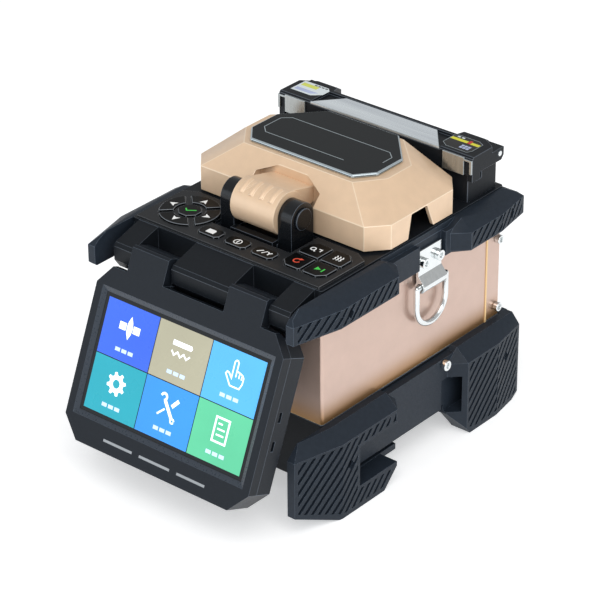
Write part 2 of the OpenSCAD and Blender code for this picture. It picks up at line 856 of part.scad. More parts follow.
module groove_block() {
    color("#e4e0d6") difference() {
        union() {
            for (x = [-12, 12]) box([x - 5, fibre_line[0] - 5, 129 + gap],
                                    [x + 5, fibre_line[0] + 5, fibre_line[1] + 0.6]);
        }
        along_x(-20, 20) polygon([[fibre_line[0] - 0.7, 139], [fibre_line[0] + 0.7, 139],
                                  [fibre_line[0], 137.6]]);
    }
}

module electrode(direction) {
    translate([0, fibre_line[0] + direction * 1.2, fibre_line[1]]) rotate([-90 * direction, 0, 0]) {
        cylinder(r1 = 0.15, r2 = 1, h = 3.5);
        translate([0, 0, 3.5 - 0.01]) cylinder(r = 1, h = 11);
    }
}

module electrodes() {
    color(steel) {
        electrode(1);
        electrode(-1);
    }
}

module electrode_covers() {
    color(dark) for (y = [fibre_line[0] - 15, fibre_line[0] + 15]) difference() {
        box([-6, y - 3.5, 129 + gap], [6, y + 3.5, 142.5]);
        translate([0, y + 6, fibre_line[1]]) rotate([90, 0, 0]) cylinder(r = 1.1, h = 12);
    }
}

module objective_lenses() {
    color("#5a5e64") for (y = [fibre_line[0] - 5, fibre_line[0] + 5])
        translate([0, y, 104]) {
            cylinder(r = 3, h = 26);
            translate([0, 0, -14]) cylinder(r = 4.6, h = 14);
        }
}

module feed_motors() {
    color("#6f757c") for (x = [-34, 34]) translate([x, fibre_line[0], 96]) {
        cylinder(r = 8, h = 20 - gap);
        translate([0, 0, -6]) cylinder(r = 5, h = 6);
    }
}

module sheath_lid() {
    difference() {
        union() {
            box([25, fibre_line[0] - 8, 137.2], [44, sheath_axis[0] - 3.2, 141]);
            rod_x(31, 38, sheath_axis, 2.2);
            box([31, sheath_axis[0] - 3.4, 137.2], [38, sheath_axis[0], 140.2]);
        }
        rod_x(30, 39, sheath_axis, sheath_pin_r + pin_play);
    }
}

module sheath_lid_right() {
    color("#a9adb2") sheath_lid();
}

module sheath_lid_left() {
    color("#a9adb2") mirror([1, 0, 0]) sheath_lid();
}

// ---------------------------------------------------------------- heater

heater_base_top = 147.4;
heater_lug_x = [50, 55];
heater_groove = [78, 11];
heater_slot = [81, 5];
heater_base_half = 62;

module heater_base() {
    color(black) difference() {
        union() {
            box([-heater_base_half, heater_front + 1.6, deck_top + gap],
                [heater_base_half, 99, heater_base_top]);
            both_sides() along_x(heater_lug_x[0], heater_lug_x[1]) {
                translate(heater_axis) circle(r = 4);
                translate([heater_axis[0] - 3, heater_base_top - 1]) square([6, 6]);
            }
        }
        box([-42.2, heater_groove[0], 138], [42.2, heater_groove[0] + heater_groove[1], 150]);
        box([-80, heater_slot[0], 141], [80, heater_slot[0] + heater_slot[1], 150]);
        rod_x(-80, 80, heater_axis, heater_pin_r + 0.02);
    }
}

module heater_channel() {
    color(steel) along_x(-42, 42) difference() {
        translate([heater_groove[0] + gap, 138 + gap]) square([heater_groove[1] - 2 * gap, 9.2]);
        translate([heater_groove[0] + 1.2, 139.2]) square([heater_groove[1] - 2.4, 12]);
    }
}

heater_waist_x = [42, 46];
heater_waist_y = 90.6;
heater_corner_z = 155.2;

module heater_hinge_pin() {
    color(steel) both_sides()
        rod_x(heater_waist_x[1], heater_half_l + 0.6, heater_axis, heater_pin_r);
}

module heater_lid() {
    lug_gap = 0.4;
    color(dark) difference() {
        union() {
            along_x(-heater_half_l, heater_half_l) polygon([
                [heater_front, heater_lid_bottom], [heater_front, heater_lid_top - 1],
                [heater_front + 1, heater_lid_top], [heater_axis[0] - 1, heater_lid_top],
                [heater_axis[0] + 4, heater_axis[1] + 3], [heater_axis[0] + 4, heater_axis[1] - 2],
                [heater_axis[0] + 2, heater_lid_bottom]]);
            both_sides() box([heater_base_half + 0.5, heater_front, 144],
                             [heater_half_l, heater_front + 7, heater_lid_bottom + gap]);
        }
        both_sides() along_x(heater_lug_x[0] - lug_gap, heater_lug_x[1] + lug_gap)
            translate(heater_axis) circle(r = 5.6);
        both_sides() box([heater_lug_x[0] - lug_gap, heater_axis[0] - 4.4, heater_lid_bottom - cut],
                         [heater_lug_x[1] + lug_gap, heater_axis[0] + 6, heater_axis[1]]);
        box([-44, heater_front - cut, heater_lid_top - 1.6], [44, heater_front + 16, heater_lid_top + cut]);
        box([-60, heater_groove[0], heater_lid_bottom - cut],
            [60, heater_groove[0] + heater_groove[1], heater_lid_bottom + 2]);
        rod_x(-80, 80, heater_axis, heater_pin_r + pin_play);
        // The lid is narrower between its hinged ends, and its top's rear corners are cut off
        translate([0, 0, 140]) linear_extrude(30)
            polygon([[-heater_waist_x[0], heater_waist_y], [heater_waist_x[0], heater_waist_y],
                     [heater_waist_x[1], 105], [-heater_waist_x[1], 105]]);
        both_sides() translate([0, 0, heater_corner_z]) linear_extrude(10)
            polygon([[heater_lug_x[1] + 1, heater_axis[0]], [heater_half_l + 1, heater_axis[0] - 7],
                     [heater_half_l + 1, 105], [heater_lug_x[1] + 1, 105]]);
    }
}

module heater_strip() {
    color("#c3cbd8") translate([0, 0, heater_lid_top - 1.6 + gap]) linear_extrude(1.5)
        polygon([[-44 + gap, heater_front], [44 - gap, heater_front], [31, heater_front + 15.5],
                 [-31, heater_front + 15.5]]);
}

module heater_clips() {
    color("#b4b7ba") both_sides() {
        box([47, heater_front - 1.2, 147.6], [61, heater_front - gap, 157.8]);
        box([64.6, heater_front - 1.2, 149], [heater_half_l, heater_front - gap, 157]);
        box([61 - gap, heater_front - 1.2, 156], [64.6 + gap, heater_front - gap, 157]);
    }
}

base_tray();
casing_wrap();
casing_rear();
port_panel();
chassis();
battery_pack();
main_board();
lower_bumper_right();
lower_bumper_left();
upper_bumper_right();
upper_bumper_left();
deck();
keypad_panel();
keypad_board();
side_screws();
tray_screws();
strap_bracket_right();
strap_bracket_left();
bracket_screws();
strap_ring_right();
strap_ring_left();
display_hinge_pin();
display_bezel();
display_back();
screen_panel();
screen_glass();
display_board();
hinge_ears();
cover_hinge_pin();
hinge_caps();
cover_shell();
cover_top_plate();
cover_hinge_arm();
cover_pressers();
stage_base();
groove_block();
electrodes();
electrode_covers();
objective_lenses();
feed_motors();
sheath_lid_right();
sheath_lid_left();
heater_base();
heater_channel();
heater_hinge_pin();
heater_lid();
heater_strip();
heater_clips();
key_ok();
key_left();
key_right();
key_back();
key_front();
key_sheet();
key_info();
key_view();
key_zoom();
key_reset();
key_heat();
key_start();
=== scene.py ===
"""Looks for the fibre fusion splicer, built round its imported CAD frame."""
import json
from math import atan2, cos, pi, radians, sin, tan

import bmesh
import bpy
from mathutils import Matrix, Vector

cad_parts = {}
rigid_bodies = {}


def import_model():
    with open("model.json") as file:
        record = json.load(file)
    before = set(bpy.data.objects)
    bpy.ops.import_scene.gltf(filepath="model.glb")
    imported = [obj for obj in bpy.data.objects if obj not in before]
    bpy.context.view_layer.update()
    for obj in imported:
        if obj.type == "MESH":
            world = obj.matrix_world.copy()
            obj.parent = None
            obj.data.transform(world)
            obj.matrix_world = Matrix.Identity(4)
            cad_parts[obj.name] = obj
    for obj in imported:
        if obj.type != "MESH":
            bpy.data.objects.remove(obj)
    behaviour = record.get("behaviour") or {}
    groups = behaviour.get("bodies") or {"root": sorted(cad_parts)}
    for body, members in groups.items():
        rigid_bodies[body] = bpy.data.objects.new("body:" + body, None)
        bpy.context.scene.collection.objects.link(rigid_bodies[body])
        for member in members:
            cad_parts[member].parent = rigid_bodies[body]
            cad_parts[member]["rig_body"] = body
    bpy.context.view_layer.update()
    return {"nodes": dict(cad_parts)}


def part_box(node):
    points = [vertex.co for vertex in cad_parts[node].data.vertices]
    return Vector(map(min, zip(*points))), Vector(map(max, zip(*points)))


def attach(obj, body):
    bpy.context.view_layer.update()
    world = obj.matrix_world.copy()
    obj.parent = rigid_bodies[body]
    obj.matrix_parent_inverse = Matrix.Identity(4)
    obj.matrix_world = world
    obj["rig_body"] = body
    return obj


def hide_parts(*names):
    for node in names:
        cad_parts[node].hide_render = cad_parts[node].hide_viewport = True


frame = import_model()
NODES = frame["nodes"]
MM = 0.001
WELD = 0.03 * MM
CUT_WELD = 0.02 * MM
FLAT_ANGLE = radians(0.6)
AREA_SLACK = 0.0004
NORMAL_WEIGHT = 80
NOISE_LOW, NOISE_HIGH = 0.3, 0.7
SMEAR_RATIO = 2.7


# ---------------------------------------------------------------- materials

def linear(code):
    """A colour written as RRGGBB, as linear values."""
    parts = [int(code[i:i + 2], 16) / 255 for i in (0, 2, 4)]
    return tuple(c / 12.92 if c <= 0.04045 else ((c + 0.055) / 1.055) ** 2.4 for c in parts) + (1.0,)


def shaded(colour, factor):
    """The colour made lighter or darker by a factor."""
    return tuple(min(1.0, c * factor) for c in colour[:3]) + (1.0,)


def noise(tree, coord, scale, detail=3.0, stretch=None):
    """A noise value in object space, stretched along the axes if asked."""
    node = tree.nodes.new("ShaderNodeTexNoise")
    node.inputs["Scale"].default_value = scale
    node.inputs["Detail"].default_value = detail
    source = coord.outputs["Object"]
    if stretch:
        mapping = tree.nodes.new("ShaderNodeMapping")
        mapping.inputs["Scale"].default_value = stretch
        tree.links.new(source, mapping.inputs["Vector"])
        source = mapping.outputs["Vector"]
    tree.links.new(source, node.inputs["Vector"])
    return node.outputs["Fac"]


def ranged(tree, value, low, high):
    """A noise value spread over the range from low to high."""
    node = tree.nodes.new("ShaderNodeMapRange")
    node.inputs["From Min"].default_value = NOISE_LOW
    node.inputs["From Max"].default_value = NOISE_HIGH
    node.inputs["To Min"].default_value = low
    node.inputs["To Max"].default_value = high
    tree.links.new(value, node.inputs["Value"])
    return node.outputs["Result"]


def finish_material(name, colour, rough, metallic=0.0, coat=0.0, coat_rough=0.08, specular=0.5,
                    mottle=0.08, mottle_scale=60.0, rough_spread=0.06, grain=0.0,
                    grain_scale=2500.0, stretch=None, glow=0.0, low_reflection=None):
    """A surface with its own colour drift, roughness drift and grain, all in object space.

    The last argument is a painted reflection: a colour that the surface turns to towards its lower
    edge, with the two heights in m.
    """
    mat = bpy.data.materials.new(name)
    mat.use_nodes = True
    tree = mat.node_tree
    shader = tree.nodes["Principled BSDF"]
    coord = tree.nodes.new("ShaderNodeTexCoord")
    mix = tree.nodes.new("ShaderNodeMix")
    mix.data_type = "RGBA"
    mix.inputs["A"].default_value = shaded(colour, 1 - mottle)
    mix.inputs["B"].default_value = shaded(colour, 1 + mottle)
    drift = noise(tree, coord, mottle_scale, 5.0, stretch)
    tree.links.new(ranged(tree, drift, 0.0, 1.0), mix.inputs["Factor"])
    tint = mix.outputs["Result"]
    # Painted reflection: low on the part the colour turns towards a darker one, as if mirroring what
    # is below.
    if low_reflection:
        reflection_colour, low, high = low_reflection
        split = tree.nodes.new("ShaderNodeSeparateXYZ")
        tree.links.new(coord.outputs["Object"], split.inputs["Vector"])
        span = tree.nodes.new("ShaderNodeMapRange")
        span.interpolation_type = "SMOOTHSTEP"
        span.inputs["From Min"].default_value = low
        span.inputs["From Max"].default_value = high
        tree.links.new(split.outputs["Z"], span.inputs["Value"])
        blend = tree.nodes.new("ShaderNodeMix")
        blend.data_type = "RGBA"
        blend.inputs["A"].default_value = reflection_colour
        tree.links.new(span.outputs["Result"], blend.inputs["Factor"])
        tree.links.new(tint, blend.inputs["B"])
        tint = blend.outputs["Result"]
    tree.links.new(tint, shader.inputs["Base Color"])
    smear = noise(tree, coord, mottle_scale * SMEAR_RATIO, 4.0, stretch)
    tree.links.new(ranged(tree, smear, rough - rough_spread, rough + rough_spread),
                   shader.inputs["Roughness"])
    shader.inputs["Metallic"].default_value = metallic
    shader.inputs["Coat Weight"].default_value = coat
    shader.inputs["Coat Roughness"].default_value = coat_rough
    shader.inputs["Specular IOR Level"].default_value = specular
    if glow:
        tree.links.new(tint, shader.inputs["Emission Color"])
        shader.inputs["Emission Strength"].default_value = glow
    if grain:
        bump = tree.nodes.new("ShaderNodeBump")
        bump.inputs["Distance"].default_value = grain
        bump.inputs["Strength"].default_value = 1.0
        tree.links.new(noise(tree, coord, grain_scale, 2.0, stretch), bump.inputs["Height"])
        tree.links.new(bump.outputs["Normal"], shader.inputs["Normal"])
    return mat


GOLD = finish_material("gold_paint", linear("EACBAA"), 0.4, metallic=0.12, coat=0.5, coat_rough=0.3,
                       mottle=0.03, mottle_scale=160, grain=0.000006, grain_scale=2600)
# Painted highlight: a paler, glossier gold on the rounded edges of the gold parts, for light caught
# there.
GOLD_HIGHLIGHT = finish_material("gold_paint_painted_highlight", linear("FBE4C8"), 0.34, metallic=0.15, coat=0.5,
                            coat_rough=0.25, mottle=0.03, mottle_scale=160)
# The casing turns golden brown towards its foot: a painted reflection of the dark bumpers below it.
CASING = finish_material("casing_paint", linear("CFB5A8"), 0.32, metallic=0.7, coat=0.12,
                         mottle=0.025, mottle_scale=120, rough_spread=0.03, grain=0.000003,
                         grain_scale=2600, low_reflection=(linear("A67C4C"), 0.051, 0.068))
# Painted highlight: a pale gold on the rounded edges of the casing, for light caught there.
CASING_HIGHLIGHT = finish_material("casing_paint_painted_highlight", linear("F6DDB4"), 0.25, metallic=0.4, coat=0.2,
                              mottle=0.03, mottle_scale=350)
BLACK_PLASTIC = finish_material("black_plastic", linear("191D22"), 0.42, specular=0.16, mottle=0.08,
                                mottle_scale=500, grain=0.00001, grain_scale=3600)
# Painted highlight: a grey-blue on the rounded edges of the black plastic parts, for the light lines
# they catch.
BLACK_HIGHLIGHT = finish_material("black_plastic_painted_highlight", linear("4A525C"), 0.26, mottle=0.08,
                             mottle_scale=900)
GLOSS_BLACK = finish_material("gloss_black", linear("101317"), 0.24, specular=0.3, coat=0.15,
                              mottle=0.03, mottle_scale=200, rough_spread=0.015)
DISPLAY_PLASTIC = finish_material("display_plastic", linear("1B2027"), 0.38, specular=0.18,
                                  mottle=0.06, mottle_scale=600, grain=0.000008,
                                  grain_scale=3600)
# Painted highlight: a light grey on the rounded edges of the display housing, for light caught
# there.
DISPLAY_HIGHLIGHT = finish_material("display_plastic_painted_highlight", linear("56616E"), 0.22, mottle=0.06,
                               mottle_scale=900)
DISPLAY_BEVEL = finish_material("display_bevel", linear("323A44"), 0.3, mottle=0.04,
                                mottle_scale=300)
RUBBER = finish_material("bumper_rubber", linear("252D37"), 0.48, specular=0.2, mottle=0.09,
                         mottle_scale=420, rough_spread=0.08, grain=0.000018, grain_scale=3000)
# Painted highlight: a bright slate blue on the rounded edges of the bumper ribs, for the light lines
# they catch.
RUBBER_HIGHLIGHT = finish_material("bumper_rubber_painted_highlight", linear("617081"), 0.36, mottle=0.09,
                              mottle_scale=420, rough_spread=0.08, grain=0.00001,
                              grain_scale=3000)
KEYPAD = finish_material("keypad_film", linear("242629"), 0.42, specular=0.2, mottle=0.05,
                         mottle_scale=900, grain=0.000006, grain_scale=5000)
# Painted highlight: a lighter grey on the rounded edges of the keypad panel.
KEYPAD_HIGHLIGHT = finish_material("keypad_film_painted_highlight", linear("6A6D70"), 0.3, mottle=0.06)
KEY = finish_material("key_plastic", linear("08090A"), 0.32, specular=0.12, mottle=0.06)
# Painted highlight: a grey on the rounded edges of the black keys, for the light lines they catch.
KEY_HIGHLIGHT = finish_material("key_plastic_painted_highlight", linear("6B7178"), 0.22, coat=0.3, mottle=0.06)
STEEL = finish_material("bright_zinc", linear("E6EAEB"), 0.16, metallic=1.0, mottle=0.04,
                        mottle_scale=500, rough_spread=0.06, grain=0.000006, grain_scale=900,
                        stretch=(1, 1, 0.2))
PIN = finish_material("ground_steel", linear("9FA3A8"), 0.32, metallic=1.0, mottle=0.08,
                      stretch=(0.1, 1, 1), mottle_scale=700)
PLATE = finish_material("plate_black", linear("25282A"), 0.46, specular=0.16, mottle=0.07,
                        mottle_scale=1500, grain=0.00001, grain_scale=4200)
SILVER = finish_material("silver_edge", linear("BAC6CC"), 0.3, metallic=0.6, mottle=0.03,
                         mottle_scale=300, rough_spread=0.01)
BRUSHED = finish_material("brushed_strip", linear("E6EEF6"), 0.26, metallic=0.6, mottle=0.12,
                          mottle_scale=260, stretch=(0.05, 1, 1), grain=0.000006,
                          grain_scale=1500)
CLIP = finish_material("brushed_clip", linear("A9ACAB"), 0.3, metallic=0.9, mottle=0.1,
                       mottle_scale=420, stretch=(1, 1, 0.06), grain=0.000006, grain_scale=1500)
STAGE_METAL = finish_material("stage_metal", linear("8D9299"), 0.4, metallic=0.8, mottle=0.08,
                              mottle_scale=250, grain=0.000006, grain_scale=1800)
CERAMIC = finish_material("groove_ceramic", linear("E4E0D6"), 0.4, mottle=0.04, grain=0.00001)
LENS = finish_material("lens_black", linear("3A3D42"), 0.35, metallic=0.5, mottle=0.08)
BOARD = finish_material("board_green", linear("245438"), 0.35, mottle=0.2, mottle_scale=300)
CELL = finish_material("cell_wrap", linear("3A5F93"), 0.4, mottle=0.08)
PAD = finish_material("pad_rubber", linear("8E9399"), 0.6, mottle=0.08, grain=0.00002)
GLASS = finish_material("dark_glass", linear("090B0E"), 0.12, specular=0.25, mottle=0.05,
                        rough_spread=0.02)
# Painted highlight: the pale seam strips glow a little, so the seam shows as a bright line.
SEAM_HIGHLIGHT_METAL = finish_material("seam_metal_painted_highlight", linear("E8C690"), 0.35, metallic=0.3, mottle=0.03,
                             mottle_scale=200, rough_spread=0.01, glow=0.12)
LABEL_TONGUE = finish_material("port_blue", linear("2F5FB8"), 0.4, mottle=0.05)
CONTACT = finish_material("gold_contact", linear("D9B45A"), 0.25, metallic=1.0, mottle=0.08)
DARK = finish_material("dark_inside", linear("050607"), 0.6, specular=0.1, mottle=0.1)

DRESS = {
    # node: (finish, finish of the rounded edges (mostly a painted highlight), their radius in mm)
    "base_tray": (BLACK_PLASTIC, BLACK_HIGHLIGHT, 0.5), "casing_wrap": (CASING, CASING_HIGHLIGHT, 0.35),
    "casing_rear": (CASING, CASING_HIGHLIGHT, 0.35), "port_panel": (BLACK_PLASTIC, BLACK_HIGHLIGHT, 0.3),
    "deck": (BLACK_PLASTIC, BLACK_HIGHLIGHT, 0.5), "keypad_panel": (KEYPAD, KEYPAD_HIGHLIGHT, 0.18),
    "side_screws": (STEEL, STEEL, 0.4), "tray_screws": (STEEL, STEEL, 0.3),
    "strap_bracket_right": (STEEL, STEEL, 0.25), "strap_bracket_left": (STEEL, STEEL, 0.25),
    "bracket_screws": (STEEL, STEEL, 0.25), "strap_ring_right": (STEEL, STEEL, 0),
    "strap_ring_left": (STEEL, STEEL, 0), "display_hinge_pin": (PIN, PIN, 0.2),
    "display_bezel": (DISPLAY_PLASTIC, DISPLAY_HIGHLIGHT, 0.7),
    "display_back": (DISPLAY_PLASTIC, DISPLAY_HIGHLIGHT, 0.7),
    "hinge_ears": (GLOSS_BLACK, BLACK_HIGHLIGHT, 1.0), "cover_hinge_pin": (PIN, PIN, 0.2),
    "hinge_caps": (GLOSS_BLACK, BLACK_HIGHLIGHT, 0.4), "cover_shell": (GOLD, GOLD_HIGHLIGHT, 0.4),
    "cover_top_plate": (PLATE, SILVER, 0.9), "cover_hinge_arm": (GOLD, GOLD_HIGHLIGHT, 0.45),
    "cover_pressers": (PAD, PAD, 0.3), "stage_base": (STAGE_METAL, SILVER, 0.3),
    "groove_block": (CERAMIC, CERAMIC, 0.15), "electrode_covers": (BLACK_PLASTIC, BLACK_HIGHLIGHT, 0.4),
    "sheath_lid_right": (STAGE_METAL, SILVER, 0.35), "sheath_lid_left": (STAGE_METAL, SILVER, 0.35),
    "heater_base": (BLACK_PLASTIC, BLACK_HIGHLIGHT, 0.4), "heater_channel": (CLIP, CLIP, 0),
    "heater_hinge_pin": (STEEL, STEEL, 0.2), "heater_lid": (BLACK_PLASTIC, BLACK_HIGHLIGHT, 0.5),
    "heater_strip": (BRUSHED, SILVER, 0.3), "heater_clips": (CLIP, SILVER, 0.2),
}
PLAIN = {"chassis": STAGE_METAL, "battery_pack": CELL, "main_board": BOARD, "keypad_board": BOARD,
         "display_board": BOARD, "electrodes": PIN, "objective_lenses": LENS,
         "feed_motors": PIN, "screen_panel": GLASS, "screen_glass": GLASS}
KEYS = [n for n in NODES if n.startswith("key_")]
DRESS.update({n: (KEY, KEY_HIGHLIGHT, 0.3) for n in KEYS})


# ---------------------------------------------------------------- mesh helpers

def body_name(node):
    """The body that a CAD node rides on."""
    return NODES[node]["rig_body"]


def linked(name, mesh, materials):
    """A new piece in the scene, with its materials in order."""
    piece = bpy.data.objects.new(name, mesh)
    bpy.context.scene.collection.objects.link(piece)
    mesh.materials.clear()
    for m in materials:
        mesh.materials.append(m)
    return piece


def settled(piece):
    """The piece with its modifiers worked into its mesh."""
    graph = bpy.context.evaluated_depsgraph_get()
    mesh = bpy.data.meshes.new_from_object(piece.evaluated_get(graph))
    piece.modifiers.clear()
    piece.data = mesh
    return piece


def clean_copy(node):
    """A mesh like the node's, with its flat faces whole and no slivers."""
    bm = bmesh.new()
    bm.from_mesh(NODES[node].data)
    bmesh.ops.remove_doubles(bm, verts=bm.verts, dist=WELD)
    bmesh.ops.dissolve_limit(bm, angle_limit=FLAT_ANGLE, verts=bm.verts, edges=bm.edges)
    bmesh.ops.recalc_face_normals(bm, faces=bm.faces)
    for f in bm.faces:
        f.smooth = True
        f.material_index = 0
    mesh = bpy.data.meshes.new(node + "_skin")
    bm.to_mesh(mesh)
    bm.free()
    return mesh


def sound(mesh):
    """Whether every face still covers as much as its own triangles do."""
    mesh.calc_loop_triangles()
    whole = sum(p.area for p in mesh.polygons)
    return abs(sum(t.area for t in mesh.loop_triangles) - whole) < AREA_SLACK * whole


def round_edges(piece, radius, segments=2, angle=28):
    """Rounds the sharp edges and evens the shading; the rounds take the second finish, mostly a
    painted highlight.

    Crowded corners take a smaller radius, down to the largest one that leaves sound faces.
    """
    shares = (1.0, 0.75, 0.5, 0.35, 0.2, 0.1) if radius else ()
    for share, corner in [(s, c) for s in shares for c in ("MITER_ARC", "MITER_SHARP")]:
        bevel = piece.modifiers.new("edges", "BEVEL")
        bevel.width = radius * share * MM
        bevel.segments = segments
        bevel.limit_method = "ANGLE"
        bevel.angle_limit = radians(angle)
        bevel.use_clamp_overlap = False
        bevel.miter_outer = corner
        # Slot 1 on the rounds is mostly a lighter finish: a painted highlight along the edges.
        bevel.material = 1
        graph = bpy.context.evaluated_depsgraph_get()
        if sound(piece.evaluated_get(graph).to_mesh()):
            break
        piece.modifiers.clear()
    normals = piece.modifiers.new("normals", "WEIGHTED_NORMAL")
    normals.weight = NORMAL_WEIGHT
    normals.keep_sharp = False
    return settled(piece)


def cut_from(piece, cutters):
    """Cuts the cutters out of the piece and removes them."""
    for n, cutter in enumerate(cutters):
        cut = piece.modifiers.new(f"cut{n}", "BOOLEAN")
        cut.operation = "DIFFERENCE"
        cut.solver = "EXACT"
        cut.object = cutter
        bpy.context.view_layer.update()
    settled(piece)
    for cutter in cutters:
        bpy.data.objects.remove(cutter)
    bm = bmesh.new()
    bm.from_mesh(piece.data)
    bmesh.ops.remove_doubles(bm, verts=bm.verts, dist=CUT_WELD)
    bmesh.ops.dissolve_limit(bm, angle_limit=FLAT_ANGLE, verts=bm.verts, edges=bm.edges)
    for f in bm.faces:
        f.smooth = True
    bm.to_mesh(piece.data)
    bm.free()


def dress(node, cutters=()):
    """Puts a finished skin in the place of a CAD node, on the same body."""
    # The second finish goes on the rounded edges; mostly it is a painted highlight.
    finish, edge, radius = DRESS[node]
    piece = linked(node + "_skin", clean_copy(node), [finish, edge])
    if cutters:
        cut_from(piece, cutters)
        piece.data.materials.clear()
        for m in (finish, edge):
            piece.data.materials.append(m)
        for p in piece.data.polygons:
            p.material_index = 0
    round_edges(piece, radius)
    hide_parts(node)
    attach(piece, body_name(node))
    return piece


def add_prism(bm, outline, place, low, high):
    """Adds a prism on a flat outline in mm; place takes its plane to the shared frame."""
    rings = [[bm.verts.new(place @ Vector((x * MM, y * MM, z * MM))) for x, y in outline]
             for z in (low, high)]
    size = len(outline)
    for i in range(size):
        j = (i + 1) % size
        bm.faces.new((rings[0][i], rings[0][j], rings[1][j], rings[1][i]))
    bm.faces.new(rings[0][::-1])
    bm.faces.new(rings[1])


def prisms(name, outlines, place, low, high, material, body, step=0.0, radius=0.0):
    """One piece made of prisms; step lifts each a little more than the last."""
    bm = bmesh.new()
    for n, outline in enumerate(outlines):
        add_prism(bm, outline, place, low, high + n * step)
    bmesh.ops.recalc_face_normals(bm, faces=bm.faces)
    mesh = bpy.data.meshes.new(name)
    bm.to_mesh(mesh)
    bm.free()
    piece = linked(name, mesh, [material, material])
    if radius:
        round_edges(piece, radius)
    if body:
        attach(piece, body)
    return piece


def rectangle(x0, x1, y0, y1):
    """Corners of a rectangle, anticlockwise."""
    return [(x0, y0), (x1, y0), (x1, y1), (x0, y1)]


def circle(x, y, r, count=24):
    """Points round a circle."""
    return [(x + r * cos(2 * pi * i / count), y + r * sin(2 * pi * i / count)) for i in range(count)]


def arc(x, y, r, start, end, count=16):
    """Points along an arc, between two angles in degrees."""
    turns = [radians(start + (end - start) * i / count) for i in range(count + 1)]
    return [(x + r * cos(t), y + r * sin(t)) for t in turns]


def ribbon(points, width, closed=False):
    """The quads of a mitred line of the given width."""
    count = len(points)
    sides = []
    for i, p in enumerate(points):
        before = points[i - 1] if closed or i else None
        after = points[(i + 1) % count] if closed or i < count - 1 else None
        runs = []
        for a, b in ((before, p), (p, after)):
            if a and b:
                d = Vector((b[0] - a[0], b[1] - a[1])).normalized()
                runs.append(Vector((-d.y, d.x)))
        across = sum(runs, Vector((0, 0))).normalized()
        reach = width / 2 / max(0.4, across.dot(runs[0]))
        sides.append((Vector(p) + across * reach, Vector(p) - across * reach))
    last = count if closed else count - 1
    return [[tuple(sides[i][0]), tuple(sides[i][1]), tuple(sides[(i + 1) % count][1]),
             tuple(sides[(i + 1) % count][0])] for i in range(last)]


def placed(shapes, x=0.0, y=0.0, size=1.0, turn=0.0):
    """Outlines scaled, turned by degrees and moved."""
    c, s = cos(radians(turn)) * size, sin(radians(turn)) * size
    return [[(x + px * c - py * s, y + px * s + py * c) for px, py in shape] for shape in shapes]


def at(x, y, z):
    """A move to a point in mm."""
    return Matrix.Translation(Vector((x, y, z)) * MM)


def middle(node):
    """The middle of a CAD node's box, in mm."""
    low, high = (Vector(c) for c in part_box(node))
    return (low + high) / 2 / MM


def top_of(node):
    """The height of a CAD node's top, in mm."""
    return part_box(node)[1][2] / MM


# ---------------------------------------------------------------- bumpers

# Corners of the bumpers' outer faces in plan, as the CAD model has them
HORN_X, FLARE_Y, TAPER_Y, TAIL_X = 69.5, -47.0, 86.0, 72.5
RIDGE_TURN = 47
RIDGE_PITCH = 4.3
RIDGE_GAP = 1.9
RIDGE_DEPTH = 1.6
SOCKET_DEPTH = 3.2
CUT_CLEARANCE = 2.0
STRIP_REACH = 200
STRIP_NUMBERS = range(-60, 60)
CORNER_OVERLAP = 0.6
LOBE_END, LOBE_START = -2.0, 59.0
DIAMOND_WIDTH, DIAMOND_HEIGHT = 2.4, 3.4


def clipped(outline, field):
    """A convex outline cut to a convex field, both anticlockwise."""
    result = outline
    for i, a in enumerate(field):
        b = field[(i + 1) % len(field)]

        def inside(p):
            return (b[0] - a[0]) * (p[1] - a[1]) - (b[1] - a[1]) * (p[0] - a[0])

        cut = []
        for j, p in enumerate(result):
            q = result[(j + 1) % len(result)]
            ip, iq = inside(p), inside(q)
            if ip >= 0:
                cut.append(p)
            if ip * iq < 0:
                t = ip / (ip - iq)
                cut.append((p[0] + (q[0] - p[0]) * t, p[1] + (q[1] - p[1]) * t))
        result = cut
        if not result:
            break
    return result


def face_place(corner, along, mirror):
    """From (u, z, out) on an upright face to the shared frame; u = 0 is at the corner in plan."""
    out = Vector((along[1], -along[0], 0)) * mirror
    return Matrix(((along[0], 0, out.x, corner[0] * MM), (along[1], 0, out.y, corner[1] * MM),
                   (0, 1, 0, 0), (0, 0, 0, 1)))


def groove_cutter(name, field, corner, along, mirror):
    """Slanted grooves over a convex field, in (u, z) mm, on an upright face."""
    slope = tan(radians(RIDGE_TURN))
    rise = RIDGE_PITCH / cos(radians(RIDGE_TURN))
    half = RIDGE_GAP / cos(radians(RIDGE_TURN)) / 2
    strips = []
    for n in STRIP_NUMBERS:
        z = n * rise
        strip = [(-STRIP_REACH, z - half - STRIP_REACH * slope),
                 (STRIP_REACH, z - half + STRIP_REACH * slope),
                 (STRIP_REACH, z + half + STRIP_REACH * slope),
                 (-STRIP_REACH, z + half - STRIP_REACH * slope)]
        shape = clipped(strip, field)
        if len(shape) > 2:
            strips.append(shape)
    return prisms(name, strips, face_place(corner, along, mirror), -RIDGE_DEPTH, CUT_CLEARANCE,
                  RUBBER, None)


def socket_cutter(name, corner, along, mirror, outline):
    """A deep recess with an outline in (u, z) mm."""
    return prisms(name, [outline], face_place(corner, along, mirror), -SOCKET_DEPTH, CUT_CLEARANCE,
                  RUBBER, None)


def diamond_cutter(name, corner, along, mirror, u, z):
    """A deep recess in the shape of a diamond."""
    return socket_cutter(name, corner, along, mirror,
                         [(u - DIAMOND_WIDTH, z), (u, z - DIAMOND_HEIGHT), (u + DIAMOND_WIDTH, z),
                          (u, z + DIAMOND_HEIGHT)])


def unit(a, b):
    """The direction in plan from a to b."""
    d = Vector((b[0] - a[0], b[1] - a[1])).normalized()
    return (d.x, d.y)


